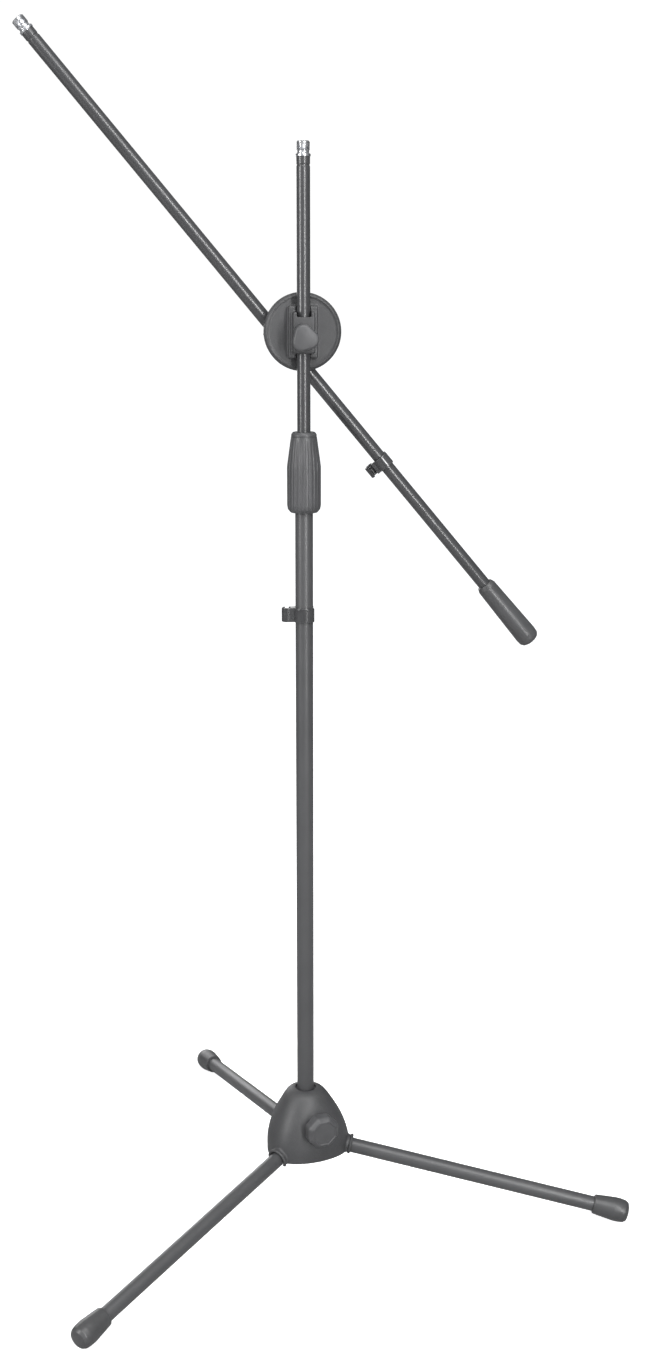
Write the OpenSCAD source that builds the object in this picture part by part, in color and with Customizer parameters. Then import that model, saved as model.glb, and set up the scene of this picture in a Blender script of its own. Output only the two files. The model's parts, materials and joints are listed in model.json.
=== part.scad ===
// Two-position boom microphone stand on three folding legs.
// Millimetres, +Z up. The origin is on the column axis, at the level of the floor.

/* [Column] */
// Height of the upper end of the lower tube
lower_tube_top = 962; // [900:1:975]
// Outer diameter of the lower tube
lower_tube_d = 21.6; // [21.2:0.1:22.2]
// Height of the lower end of the upper tube
upper_tube_bottom = 560; // [400:5:700]
// Height of the upper end of the upper tube
upper_tube_top = 1325.7; // [1240:0.1:1400]
// Outer diameter of the upper tube and the boom
slim_tube_d = 16; // [15:0.1:16]

/* [Clutch] */
// Height of the lower end of the twist grip
grip_bottom = 915.4; // [905:0.1:920]
// Length of the twist grip
grip_len = 95.8; // [90:0.1:110]
// Widest diameter of the twist grip
grip_d = 40.8; // [38:0.1:44]
// Diameter of the twist grip at its top
grip_top_d = 31.4; // [30:0.1:34]

/* [Boom] */
// Height of the tilt disc's centre
disc_z = 1127.5; // [1090:0.5:1140]
// Diameter of the tilt disc
disc_d = 92; // [90:1:100]
// Slope of the boom, falling towards +X
boom_slope = 50.2; // [-90:0.1:90]
// Distance of the boom axis behind the column axis
boom_y = 38; // [37:0.5:45]
// Distance of the boom axis from the tilt axis
boom_offset = 24; // [23:0.5:28]
// Length of boom tube on the microphone side of the disc
boom_front_len = 457; // [300:1:600]
// Length of boom on the handle side of the disc, handle included
boom_rear_len = 480; // [300:1:600]
// Length of the boom handle
handle_len = 95; // [80:1:120]

/* [Base] */
// Number of the degree that the first leg points to
leg_azimuth = -12.4; // [-60:0.1:60]
// Radius that the feet reach
foot_reach = 422.3; // [380:0.1:460]
// Outer diameter of the leg tubes
leg_d = 19; // [18:0.5:19]
// Height of the hub's lower edge
hub_bottom = 76; // [75:0.5:77]
// Height of the hub's top
hub_top = 160; // [158:1:166]

/* [Hidden] */
$fn = 64;
hull_fn = 32;
eps = 0.01;
inch = 25.4;
run_gap = 0.05;             // radial clearance of a running fit
free_gap = 0.3;             // gap between parts that pass without touching

// tubes
lower_r = lower_tube_d / 2;
lower_bore_r = lower_r - 1.4;
lower_tube_bottom = 84;
slim_r = slim_tube_d / 2;
slim_bore_r = slim_r - 1.2;
groove_depth = 0.5;
groove_len = 3;
groove_drop = 11;           // groove's far edge, below the tube end

// 5/8 inch microphone thread tip
thread_r = 5 / 16 * inch;
thread_len = 10.7;
neck_r = 6.9;
neck_len = 3.9;
flange_r = 8.7;
flange_len = 2.9;
spigot_len = 22;
adapter_bore_r = 3.5;

// column guide, clamped bush and clutch
guide_len = 40;
spigot_r = slim_bore_r - run_gap;
grip_top = grip_bottom + grip_len;
grip_entry_r = 12.4;
grip_chamfer = 10;
grip_shoulder = 57;
cap_len = 5.7;
collar_r = 14.6;
collar_bottom = 930;
collet_len = 36;
collet_r = 12.2;
collet_top_r = 10.4;

// clips
clip_len = 17.5;
clip_wall = 3.5;
lower_clip_z = 781.4;
loop_r = 6.6;
loop_hole_r = 4.3;
loop_mouth = 4.6;
lower_loop_x = 21.1;
boom_clip_len = 15;
boom_clip_s = 184;
boom_loop_x = 16.4;

// tilt clamp: distances along Y, where -Y is the front
sleeve_w = 26;
sleeve_h = 48;
sleeve_front = -13;
boss_w = 35;
boss_h = 61;
boss_front = 4;
disc_front = 12;
disc_back = 24;
disc_bevel = 3;
sleeve_gap_w = 17;
sleeve_gap_h = 6;
liner_wall = 1.9;
liner_up = 17;
liner_down = 25;
knob_z = 1122;
clamp_screw_r = 4;
clamp_nut_r = 6.5;
clamp_nut_len = 5;
clamp_knob_back = -16.5;
clamp_knob_front = -33;
clamp_knob_r = 15.6;
clamp_lobe_r = 8.6;
clamp_knob_turn = 14.2;
clamp_stem_r = 9;
clamp_stem_len = 5;         // sunk in the knob's back
pad_r = 3.7;
holder_front = 25.2;
holder_back = 32;
holder_rim_r = disc_d / 2 - 0.6;
barrel_r = 14;
barrel_len = 54;
boom_liner_r = slim_r + 2;
pillar_r = 9.2;
pillar_back = 53;
bolt_r = 4;
bolt_head_r = 8;
bolt_end = 72;
tilt_washer_len = 1.6;
tilt_knob_r = 19;
tilt_lobe_r = 8;

// boom ends
handle_start_r = 12;
handle_end_r = 14;
handle_start = boom_rear_len - handle_len;
boom_tube_rear = boom_rear_len - 20;

// legs: local X runs out along the leg from the hinge pin
pin_r_pos = 38;
pin_z = 85.13;
leg_r = leg_d / 2;
leg_bore_r = leg_r - 1.4;
foot_len = 46;
foot_axis_z = 10.99;
// the rubber foot: radius and distance from its own start
foot_outline = [[11.6, 0], [12.3, 1], [13.6, 13], [15, 27], [14.9, 34], [14, 40.5],
                [11.6, 44.2], [7, 45.6]];
leg_slope = atan((pin_z - foot_axis_z) / (foot_reach - pin_r_pos));
leg_len = (foot_reach - pin_r_pos) / cos(leg_slope);
leg_tube_start = 16;
leg_tube_end = leg_len - 14;
foot_start = leg_len - foot_len;
hinge_pin_r = 3;
hinge_pin_len = 29;
knuckle_w = 18.4;
knuckle_r = 8.6;
knuckle_len = 8;
knuckle_plug_end = 52;

// hub
hub_wall = 4;
hub_lobe_r = 22;
notch_r = leg_r + 0.7;
notch_back = -11;           // behind the hinge pin
notch_end = 40;
fold_room = 10.5;           // square part of the slot, for the knuckle to turn in
hood_wall = 2.6;
hood_start = 8;
hood_end = 22;
cheek_t = 4;
cheek_top = 103;
post_r = 17;
hub_liner_r = 13.6;
hub_liner_bottom = 104;
hub_knob_azimuth = leg_azimuth - 60;
hub_knob_z = 125;
hub_knob_back = 46.5;
hub_knob_front = 66;
hub_knob_r = 19;
hub_stem_r = 12;
hub_stem_len = 3.5;
hub_knob_rim = 14.5;        // from the knob's back to the start of its front chamfer
hub_screw_r = 4;
hub_nut_r = 7;
hub_nut_in = 27;
hub_nut_len = 7;
hub_boss_r = 10;
hub_boss_end = 43;
// each level of the hub: height, reach at a corner, reach between corners
hub_levels = [[hub_bottom, 57, 50], [98, 55.5, 49.5], [122, 47, 43],
              [147, 32, 30], [156, 24, 24], [hub_top, 17.5, 17.5]];

// ---- placing and shared shapes ----

// a cylinder between two places on its axis
module rod(r, from, to) {
    translate([0, 0, from]) cylinder(r = r, h = to - from);
}

// a pipe between two places on its axis
module pipe(r, bore_r, from, to) {
    difference() {
        rod(r, from, to);
        rod(bore_r, from - 1, to + 1);
    }
}

// turns +Z into +Y
module along_y() {
    rotate([-90, 0, 0]) children();
}

// turns +Z into +X
module along_x() {
    rotate([0, 90, 0]) children();
}

// leg number k: local X runs out along the leg from its hinge pin
module leg_place(k) {
    rotate([0, 0, leg_azimuth + 120 * k]) translate([pin_r_pos, 0, pin_z])
        rotate([0, leg_slope, 0]) children();
}

// the boom: local X runs down the boom from the point nearest the tilt axis
module boom_place() {
    translate([0, boom_y, disc_z]) rotate([0, boom_slope, 0])
        translate([0, 0, -boom_offset]) children();
}

// the hub knob's screw: local Z runs out from the column axis
module hub_screw_place() {
    rotate([0, 0, hub_knob_azimuth]) translate([0, 0, hub_knob_z]) along_x() children();
}

// the tilt bolt: local Z runs to the back, in true distances along Y
module tilt_place() {
    translate([0, 0, disc_z]) along_y() children();
}

// the column clamp's screw: local Z runs to the back
module clamp_screw_place() {
    translate([0, 0, knob_z]) along_y() children();
}

// slim tube whose end at zero is crimped on its thread tip; it runs towards +Z
module crimped_tube(len) {
    groove_top = groove_drop - groove_len;
    rotate_extrude() polygon([
        [slim_bore_r, 0], [slim_r, 0], [slim_r, groove_top],
        [slim_r - groove_depth, groove_top + 0.8],
        [slim_r - groove_depth, groove_drop - 0.8],
        [slim_r, groove_drop], [slim_r, len], [slim_bore_r, len]]);
}

// thread tip whose flange sits on a tube end at zero; the thread points to -Z
module thread_tip() {
    neck_start = -flange_len;
    thread_start = neck_start - neck_len;
    tip = thread_start - thread_len;
    rotate_extrude() polygon([
        [adapter_bore_r, spigot_len], [slim_bore_r - 0.6, spigot_len],
        [slim_bore_r, spigot_len - 1], [slim_bore_r, 0], [flange_r, 0],
        [flange_r, neck_start], [thread_r, neck_start], [neck_r, neck_start - 1],
        [neck_r, thread_start + 1], [thread_r, thread_start],
        [thread_r, tip + 1], [thread_r - 1, tip], [adapter_bore_r, tip]]);
}

// rounded three-cornered outline
module tri_outline(corner_r, lobe_r) {
    hull() for (k = [0:2]) rotate([0, 0, 120 * k]) translate([corner_r - lobe_r, 0])
        circle(r = lobe_r, $fn = hull_fn);
}

// snap-on ring with a cable loop beside it, its ring axis on Z, the loop towards -X
module cable_clip(bore_r, len, loop_x) {
    ring_r = bore_r + clip_wall;
    difference() {
        union() {
            cylinder(r = ring_r, h = len);
            translate([-loop_x, 0, 0]) cylinder(r = loop_r, h = len);
            translate([-loop_x, -loop_r * 0.7, 0]) cube([loop_x, loop_r * 1.4, len]);
        }
        rod(bore_r, -1, len + 1);
        translate([-loop_x, 0, 0]) rod(loop_hole_r, -1, len + 1);
        translate([-loop_x - loop_mouth / 2, 0, -1]) cube([loop_mouth, 3 * loop_r, len + 2]);
        translate([0, -bore_r * 0.72, -1]) cube([2 * ring_r, bore_r * 1.44, len + 2]);
    }
}

// ---- base ----

// solid three-cornered bell, drawn in by inset all round
module hub_bell(inset, from, to) {
    hull() for (level = hub_levels) {
        z = level[0] > hub_bottom ? level[0] - inset : level[0];
        reach = level[1] - inset;
        if (z >= from && z <= to) {
            translate([0, 0, z]) cylinder(r = level[2] - inset, h = eps, $fn = hull_fn);
            for (k = [0:2]) rotate([0, 0, leg_azimuth + 120 * k])
                translate([max(reach - hub_lobe_r, 0), 0, z])
                    cylinder(r = min(hub_lobe_r, reach), h = eps, $fn = 24);
        }
    }
}

// round-topped slot along a leg, open below
module leg_arch(k, r, from, to) {
    leg_place(k) {
        along_x() rod(r, from, to);
        translate([from, -r, -3 * r]) cube([to - from, 2 * r, 3 * r]);
    }
}

module hub_housing() {
    cheek_y = notch_r + cheek_t;
    color([0.16, 0.16, 0.17]) difference() {
        union() {
            difference() {
                hub_bell(0, hub_bottom, hub_top);
                translate([0, 0, -eps]) hub_bell(hub_wall, hub_bottom - 1, hub_top - hub_wall);
            }
            rod(post_r, 100, hub_top - 1);
            for (k = [0:2]) {
                rotate([0, 0, leg_azimuth + 120 * k])
                    translate([post_r - 3, -cheek_y, hub_bottom])
                        cube([33, 2 * cheek_y, cheek_top - hub_bottom]);
                intersection() {
                    leg_arch(k, notch_r + hood_wall, hood_start, hood_end);
                    translate([0, 0, hub_bottom]) cylinder(r = 100, h = 60);
                }
            }
            hub_screw_place() rod(hub_boss_r, post_r - 2, hub_boss_end);
        }
        for (k = [0:2]) {
            leg_arch(k, notch_r, notch_back, notch_end);
            leg_place(k) translate([notch_back, -notch_r, -3 * notch_r])
                cube([fold_room - notch_back, 2 * notch_r, 4 * notch_r]);
            leg_place(k) along_y() rod(hinge_pin_r, -cheek_y - 6, cheek_y + 6);
        }
        rod(lower_r + free_gap, 0, hub_liner_bottom + 1);
        rod(hub_liner_r, hub_liner_bottom, hub_top + 1);
        hub_screw_place() {
            rod(hub_screw_r + free_gap, 0, hub_nut_in + 1);
            rod(hub_nut_r, hub_nut_in, hub_boss_end + 10);
        }
    }
}

module hub_liner() {
    color([0.07, 0.07, 0.07]) difference() {
        pipe(hub_liner_r, lower_r + run_gap, hub_liner_bottom, hub_top - 1.5);
        hub_screw_place() rod(hub_screw_r + free_gap, 0, hub_nut_in);
    }
}

module hub_nut() {
    color([0.72, 0.58, 0.3]) hub_screw_place()
        pipe(hub_nut_r, hub_screw_r + run_gap, hub_nut_in, hub_nut_in + hub_nut_len);
}

module leg_pins() {
    color("silver") for (k = [0:2]) leg_place(k) along_y()
        rod(hinge_pin_r, -hinge_pin_len / 2, hinge_pin_len / 2);
}

module leg_knuckle(k) {
    color([0.2, 0.2, 0.21]) leg_place(k) difference() {
        union() {
            along_y() rod(knuckle_r, -knuckle_w / 2, knuckle_w / 2);
            translate([0, -knuckle_w / 2, -knuckle_r + 1])
                cube([knuckle_len, knuckle_w, 2 * knuckle_r - 2]);
            along_x() rod(leg_r, knuckle_len - 2, leg_tube_start);
            along_x() rod(leg_bore_r, leg_tube_start - 1, knuckle_plug_end);
        }
        along_y() rod(hinge_pin_r + run_gap, -knuckle_w, knuckle_w);
    }
}

module leg_tube(k) {
    color([0.13, 0.13, 0.14]) leg_place(k) along_x()
        pipe(leg_r, leg_bore_r, leg_tube_start, leg_tube_end);
}

// rubber foot, flattened where it stands on the floor
module foot(k) {
    color([0.1, 0.1, 0.1]) difference() {
        leg_place(k) along_x() rotate_extrude() polygon(concat(
            [[leg_r, foot_start]],
            [for (point = foot_outline) [point[0], foot_start + point[1]]],
            [[0, leg_len], [0, leg_tube_end], [leg_r, leg_tube_end]]));
        translate([-500, -500, -20]) cube([1000, 1000, 20]);
    }
}

module hub_pad() {
    color([0.85, 0.85, 0.82]) hub_screw_place() rod(pad_r, lower_r + run_gap, hub_nut_in - 8);
}

// eight-sided outline with round corners
module hub_knob() {
    color([0.2, 0.2, 0.21]) hub_screw_place() difference() {
        union() {
            rod(hub_stem_r, hub_knob_back, hub_knob_back + hub_stem_len + 1);
            hull() for (k = [0:7]) rotate([0, 0, 45 * k + 22.5]) {
                translate([hub_knob_r - 5, 0, hub_knob_back + hub_stem_len])
                    cylinder(r = 5, h = hub_knob_rim - hub_stem_len, $fn = hull_fn);
                translate([hub_knob_r - 8, 0, hub_knob_front - 1])
                    cylinder(r = 4, h = 1, $fn = hull_fn);
            }
        }
        rod(hub_screw_r, hub_knob_back - 1, hub_knob_front - 6);
    }
}

module hub_knob_screw() {
    color("silver") hub_screw_place() rod(hub_screw_r, hub_nut_in - 8, hub_knob_front - 6);
}

// ---- column ----

module lower_tube() {
    color([0.13, 0.13, 0.14]) pipe(lower_r, lower_bore_r, lower_tube_bottom, lower_tube_top);
}

module lower_tube_plug() {
    color([0.07, 0.07, 0.07]) {
        rod(lower_bore_r, lower_tube_bottom - 1, lower_tube_bottom + 18);
        rod(lower_r - 0.3, lower_tube_bottom - 3, lower_tube_bottom);
    }
}

// threaded ferrule on the lower tube, which the twist grip screws down on
module clutch_collar() {
    color([0.7, 0.7, 0.72]) difference() {
        rod(collar_r, collar_bottom, lower_tube_top + 3);
        rod(lower_r, collar_bottom - 1, lower_tube_top);
        rod(slim_r + free_gap, lower_tube_top - 1, lower_tube_top + 4);
    }
}

// split cone that the grip squeezes on the upper tube
module clutch_collet() {
    from = lower_tube_top + 3;
    to = from + collet_len;
    color([0.85, 0.85, 0.82]) difference() {
        rotate_extrude() polygon([
            [slim_r + run_gap, from], [collet_r, from], [collet_r, from + 10],
            [collet_top_r, to], [slim_r + run_gap, to]]);
        for (k = [0:2]) rotate([0, 0, 120 * k]) translate([0, -0.6, from + 8])
            cube([20, 1.2, collet_len]);
    }
}

module lower_clip() {
    color([0.06, 0.06, 0.06]) translate([0, 0, lower_clip_z])
        cable_clip(lower_r + run_gap, clip_len, lower_loop_x);
}

module clutch_grip() {
    grip_r = grip_d / 2;
    cap_bottom = grip_top - cap_len;
    shoulder = grip_bottom + grip_shoulder;
    color([0.24, 0.24, 0.25]) rotate_extrude() polygon([
        [lower_r + free_gap, grip_bottom], [grip_entry_r, grip_bottom],
        [grip_r - 1, grip_bottom + grip_chamfer - 2], [grip_r, grip_bottom + grip_chamfer],
        [grip_r, shoulder - 4], [grip_r - 0.5, shoulder + 4],
        [grip_top_d / 2, cap_bottom],
        [collet_r + 0.5, cap_bottom], [collet_r + 0.5, lower_tube_top + 5],
        [collar_r + free_gap, lower_tube_top + 5],
        [collar_r + free_gap, collar_bottom - 1], [lower_r + free_gap, collar_bottom - 3]]);
}

module clutch_cap() {
    cap_bottom = grip_top - cap_len;
    cap_r = grip_top_d / 2 + 0.4;
    color([0.24, 0.24, 0.25]) rotate_extrude() polygon([
        [slim_r + free_gap, cap_bottom], [cap_r, cap_bottom], [cap_r, grip_top - 2],
        [cap_r - 2, grip_top], [slim_r + free_gap, grip_top]]);
}

// bush that slides in the lower tube, with a spigot that the upper tube turns on
module column_guide() {
    color([0.85, 0.85, 0.82]) {
        rod(lower_bore_r - run_gap, upper_tube_bottom - 12, upper_tube_bottom - 0.1);
        rod(spigot_r, upper_tube_bottom - 1, upper_tube_bottom + guide_len);
    }
}

module upper_tube() {
    color([0.13, 0.13, 0.14]) translate([0, 0, upper_tube_top]) mirror([0, 0, 1])
        crimped_tube(upper_tube_top - upper_tube_bottom);
}

module column_adapter() {
    color([0.85, 0.85, 0.87]) translate([0, 0, upper_tube_top]) mirror([0, 0, 1]) thread_tip();
}

// ---- tilt clamp ----

module clamp_liner() {
    outer = slim_r + liner_wall;
    color([0.07, 0.07, 0.07]) pipe(outer, slim_r + run_gap, disc_z - liner_down,
                                   disc_z + liner_up);
}

// front disc, cast in one piece with the sleeve that holds the column
module clamp_body() {
    disc_r = disc_d / 2;
    color([0.19, 0.19, 0.2]) difference() {
        union() {
            tilt_place() rotate_extrude() polygon([
                [0, disc_front], [disc_r - disc_bevel, disc_front],
                [disc_r, disc_front + disc_bevel], [disc_r, disc_back], [0, disc_back]]);
            hull() for (x = [-1, 1]) for (z = [-1, 1])
                translate([x * (boss_w / 2 - 5), 0, disc_z + z * (boss_h / 2 - 5)])
                    along_y() rod(5, boss_front, disc_front + 1, $fn = hull_fn);
            hull() for (x = [-1, 1]) {
                for (z = [-1, 1]) translate([x * (sleeve_w / 2 - 4), 0, disc_z + z * (sleeve_h / 2 - 3)])
                    along_y() rod(3, sleeve_front, boss_front + 1, $fn = hull_fn);
                translate([x * (sleeve_w / 2), 0, disc_z]) cube([eps, 12, sleeve_h - 8], center = true);
            }
            clamp_screw_place() rod(clamp_nut_r + 3, sleeve_front - 2, 0);
        }
        rod(slim_r + liner_wall + run_gap, disc_z - boss_h, disc_z + boss_h);
        translate([-sleeve_gap_w / 2, sleeve_front - 1, disc_z + sleeve_h / 2 - sleeve_gap_h])
            cube([sleeve_gap_w, -sleeve_front + 1, sleeve_gap_h + 1]);
        clamp_screw_place() {
            rod(clamp_screw_r + free_gap, clamp_knob_front, 0);
            rod(clamp_nut_r, sleeve_front - 3, sleeve_front - 2 + clamp_nut_len);
        }
        tilt_place() {
            rod(bolt_r, 0, disc_back + 1);
            rod(bolt_head_r, 0, disc_front + 2, $fn = 6);
        }
    }
}

module clamp_nut() {
    from = sleeve_front - 2;
    color([0.72, 0.58, 0.3]) clamp_screw_place()
        pipe(clamp_nut_r, clamp_screw_r + run_gap, from, from + clamp_nut_len);
}

module tilt_bolt() {
    color("silver") tilt_place() {
        rod(bolt_head_r, disc_front - 1.5, disc_front + 2, $fn = 6);
        rod(bolt_r, disc_front, bolt_end);
    }
}

// pad that the clamp screw presses on the liner
module clamp_pad() {
    liner_outer = slim_r + liner_wall;
    color([0.85, 0.85, 0.82]) clamp_screw_place() rod(pad_r, -liner_outer - 2, -liner_outer - 0.1);
}

module clamp_screw() {
    color("silver") clamp_screw_place()
        rod(clamp_screw_r, clamp_knob_front + 5, -slim_r - liner_wall - 2);
}

module clamp_knob() {
    color([0.27, 0.27, 0.28]) clamp_screw_place() difference() {
        union() {
            rod(clamp_stem_r, clamp_knob_back - clamp_stem_len, clamp_knob_back);
            rotate([0, 0, clamp_knob_turn]) hull() {
                translate([0, 0, clamp_knob_front]) linear_extrude(1)
                    tri_outline(clamp_knob_r - 2, clamp_lobe_r - 1);
                translate([0, 0, clamp_knob_front + 2]) linear_extrude(10.5)
                    tri_outline(clamp_knob_r, clamp_lobe_r);
            }
        }
        rod(clamp_screw_r, clamp_knob_front + 5, 0);
    }
}

// rear half of the tilt clamp: disc, barrel for the boom and pillar for the bolt
module boom_holder() {
    color([0.17, 0.17, 0.18]) difference() {
        union() {
            tilt_place() rotate_extrude() polygon([
                [0, holder_front], [holder_rim_r, holder_front],
                [holder_rim_r, holder_back - 3], [holder_rim_r - 3, holder_back],
                [0, holder_back]]);
            tilt_place() rod(pillar_r, holder_back - 1, pillar_back);
            boom_place() along_x() rod(barrel_r, -barrel_len / 2, barrel_len / 2);
        }
        boom_place() along_x() rod(boom_liner_r + run_gap, -barrel_len, barrel_len);
        tilt_place() {
            rod(bolt_r + run_gap, disc_back, pillar_back + 1);
            rod(barrel_r * 4, 0, holder_front);
        }
    }
}

module friction_disc() {
    color([0.5, 0.2, 0.12]) tilt_place()
        pipe(disc_d / 2 - 6, bolt_r + run_gap, disc_back + 0.1, holder_front);
}

module tilt_washer() {
    color("silver") tilt_place()
        pipe(bolt_head_r, bolt_r + run_gap, pillar_back + 0.1, pillar_back + 0.1 + tilt_washer_len);
}

module tilt_nut() {
    from = pillar_back + tilt_washer_len + 0.1;
    color([0.72, 0.58, 0.3]) tilt_place() difference() {
        rod(6.5, from, from + 8, $fn = 6);
        rod(bolt_r + run_gap, from - 1, from + 9);
    }
}

module tilt_knob() {
    from = pillar_back + tilt_washer_len + 0.1;
    to = bolt_end + 4;
    color([0.27, 0.27, 0.28]) tilt_place() difference() {
        hull() {
            translate([0, 0, from]) linear_extrude(to - from - 2)
                tri_outline(tilt_knob_r, tilt_lobe_r);
            translate([0, 0, to - 1]) linear_extrude(1)
                tri_outline(tilt_knob_r - 2, tilt_lobe_r - 1);
        }
        rod(bolt_r + free_gap, from - 1, bolt_end + 2);
        rod(6.5, from - 1, from + 8, $fn = 6);
    }
}

// ---- boom ----

module boom_liner() {
    half = barrel_len / 2 + 1.5;
    color([0.07, 0.07, 0.07]) boom_place() along_x()
        pipe(boom_liner_r, slim_r + run_gap, -half, half);
}

module boom_tube() {
    color([0.13, 0.13, 0.14]) boom_place() along_x() translate([0, 0, -boom_front_len])
        crimped_tube(boom_front_len + boom_tube_rear);
}

module boom_adapter() {
    color([0.85, 0.85, 0.87]) boom_place() along_x() translate([0, 0, -boom_front_len])
        thread_tip();
}

module boom_handle() {
    color([0.1, 0.1, 0.1]) boom_place() along_x() rotate_extrude() polygon([
        [slim_r, handle_start], [10, handle_start], [handle_start_r, handle_start + 5],
        [handle_end_r, boom_rear_len - 12], [handle_end_r - 0.6, boom_rear_len - 5],
        [handle_end_r - 3, boom_rear_len - 1.4], [handle_end_r - 6, boom_rear_len],
        [0, boom_rear_len], [0, boom_tube_rear + 3], [slim_r, boom_tube_rear + 3]]);
}

module boom_end_plug() {
    color([0.07, 0.07, 0.07]) boom_place() along_x() {
        rod(slim_bore_r, boom_tube_rear - 15, boom_tube_rear + 1);
        rod(slim_r - 0.2, boom_tube_rear, boom_tube_rear + 3);
    }
}

module boom_clip() {
    color([0.06, 0.06, 0.06]) boom_place() translate([boom_clip_s - boom_clip_len / 2, 0, 0])
        along_x() mirror([1, 0, 0]) cable_clip(slim_r + run_gap, boom_clip_len, boom_loop_x);
}

hub_housing();
hub_liner();
hub_nut();
leg_pins();
leg_knuckle(0);  // leg_knuckle_right
leg_knuckle(1);  // leg_knuckle_rear
leg_knuckle(2);  // leg_knuckle_left
leg_tube(0);  // leg_tube_right
leg_tube(1);  // leg_tube_rear
leg_tube(2);  // leg_tube_left
foot(0);  // foot_right
foot(1);  // foot_rear
foot(2);  // foot_left
hub_pad();
hub_knob();
hub_knob_screw();
lower_tube();
lower_tube_plug();
clutch_collar();
clutch_collet();
lower_clip();
clutch_grip();
clutch_cap();
column_guide();
upper_tube();
column_adapter();
clamp_liner();
clamp_body();
clamp_nut();
tilt_bolt();
clamp_pad();
clamp_screw();
clamp_knob();
boom_holder();
friction_disc();
tilt_washer();
tilt_nut();
tilt_knob();
boom_liner();
boom_tube();
boom_adapter();
boom_handle();
boom_end_plug();
boom_clip();
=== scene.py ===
import bpy
import bmesh
import json
import math
from mathutils import Matrix, Vector


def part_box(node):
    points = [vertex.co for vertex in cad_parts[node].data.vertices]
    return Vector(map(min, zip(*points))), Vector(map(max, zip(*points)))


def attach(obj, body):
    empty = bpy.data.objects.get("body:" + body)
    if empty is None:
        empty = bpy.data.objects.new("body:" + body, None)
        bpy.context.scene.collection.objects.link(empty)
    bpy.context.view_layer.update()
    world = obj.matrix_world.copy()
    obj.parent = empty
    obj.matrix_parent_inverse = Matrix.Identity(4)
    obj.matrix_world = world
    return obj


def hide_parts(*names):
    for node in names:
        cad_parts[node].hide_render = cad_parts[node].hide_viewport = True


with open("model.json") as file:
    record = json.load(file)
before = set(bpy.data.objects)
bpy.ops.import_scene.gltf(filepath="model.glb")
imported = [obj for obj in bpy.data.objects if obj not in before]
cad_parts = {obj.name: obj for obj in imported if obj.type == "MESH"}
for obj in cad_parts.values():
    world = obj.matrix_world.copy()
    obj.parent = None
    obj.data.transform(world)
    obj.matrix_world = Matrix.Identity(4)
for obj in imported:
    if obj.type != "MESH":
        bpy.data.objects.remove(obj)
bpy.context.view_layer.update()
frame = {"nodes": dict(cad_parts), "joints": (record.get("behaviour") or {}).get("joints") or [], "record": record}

# Boom microphone stand. Sizes are in millimetres unless a name says otherwise.
mm = 0.001
turn = 2 * math.pi
joints = {joint["name"]: joint for joint in frame["joints"]}
legNames = ["right", "rear", "left"]
scene = bpy.context.scene


# Places: frames that the pieces are built in, read from the joints and boxes of the frame.

def placeAlong(origin, direction, side=(0, 0, 1)):
    # Z runs along direction, X is as near to side as it can be
    z = Vector(direction).normalized()
    x = Vector(side) - z * Vector(side).dot(z)
    if x.length < 1e-6:
        x = z.orthogonal()
    x.normalize()
    y = z.cross(x)
    place = Matrix((x, y, z)).transposed().to_4x4()
    place.translation = origin
    return place


def jointPlace(name, side=(0, 0, 1)):
    joint = joints[name]
    return placeAlong(Vector(joint.get("pos_m", (0, 0, 0))), joint["axis"], side)


def boxCentre(node):
    low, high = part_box(node)
    return (low + high) / 2


columnPlace = Matrix.Identity(4)
# Z runs down the boom, and X is up and across it
boomPlace = jointPlace("boom_spin")
# Z runs to the back
tiltPlace = jointPlace("boom_tilt", side=(1, 0, 0))
tiltPlace.translation.y = 0
# Z runs to the front
clampKnobPlace = jointPlace("clamp_knob_turn", side=(1, 0, 0))
clampKnobPlace.translation.y = 0
# Z runs out from the column
hubKnobPlace = jointPlace("hub_knob_turn")


def legPlace(name):
    # Z runs out along the leg from its hinge pin, Y is the pin's axis
    joint = joints[f"leg_{name}_fold"]
    pin = Vector(joint["pos_m"])
    across = Vector(joint["axis"]).normalized()
    along = boxCentre(f"leg_tube_{name}") - pin
    along -= across * along.dot(across)
    return placeAlong(pin, along)


legPlaces = {name: legPlace(name) for name in legNames}
discRadius = (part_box("boom_holder")[1].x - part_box("boom_holder")[0].x) / 2 / mm
upperBottom, upperTop = (corner.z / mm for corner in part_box("upper_tube"))
lowerBottom, lowerTop = (corner.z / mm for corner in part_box("lower_tube"))


# Mesh helpers. Each makes or changes one plain mesh object.

def filleted(points, closed=True, steps=5):
    # rounds the corners of an outline: a point is (r, z) or (r, z, corner radius)
    outline = []
    count = len(points)
    for i, point in enumerate(points):
        radius = point[2] if len(point) > 2 else 0
        here = Vector(point[:2])
        if radius <= 0 or (not closed and i in (0, count - 1)):
            outline.append(here)
            continue
        before = Vector(points[i - 1][:2]) - here
        after = Vector(points[(i + 1) % count][:2]) - here
        half = before.angle(after) / 2
        reach = min(radius / math.tan(half), before.length * 0.49, after.length * 0.49)
        start = here + before.normalized() * reach
        end = here + after.normalized() * reach
        for step in range(steps + 1):
            t = step / steps
            outline.append(start * (1 - t) ** 2 + here * 2 * t * (1 - t) + end * t ** 2)
    return outline


def meshObject(name, build, place=columnPlace, smoothAngle=35, sizeUnit=mm):
    mesh = bpy.data.meshes.new(name)
    build.normal_update()
    build.to_mesh(mesh)
    build.free()
    mesh.transform(Matrix.Scale(sizeUnit, 4))
    mesh.transform(place)
    piece = bpy.data.objects.new(name, mesh)
    scene.collection.objects.link(piece)
    smooth(piece, smoothAngle)
    return piece


def smooth(piece, angle=35):
    piece.data.shade_smooth()
    piece.data.set_sharp_from_angle(angle=math.radians(angle))


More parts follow.
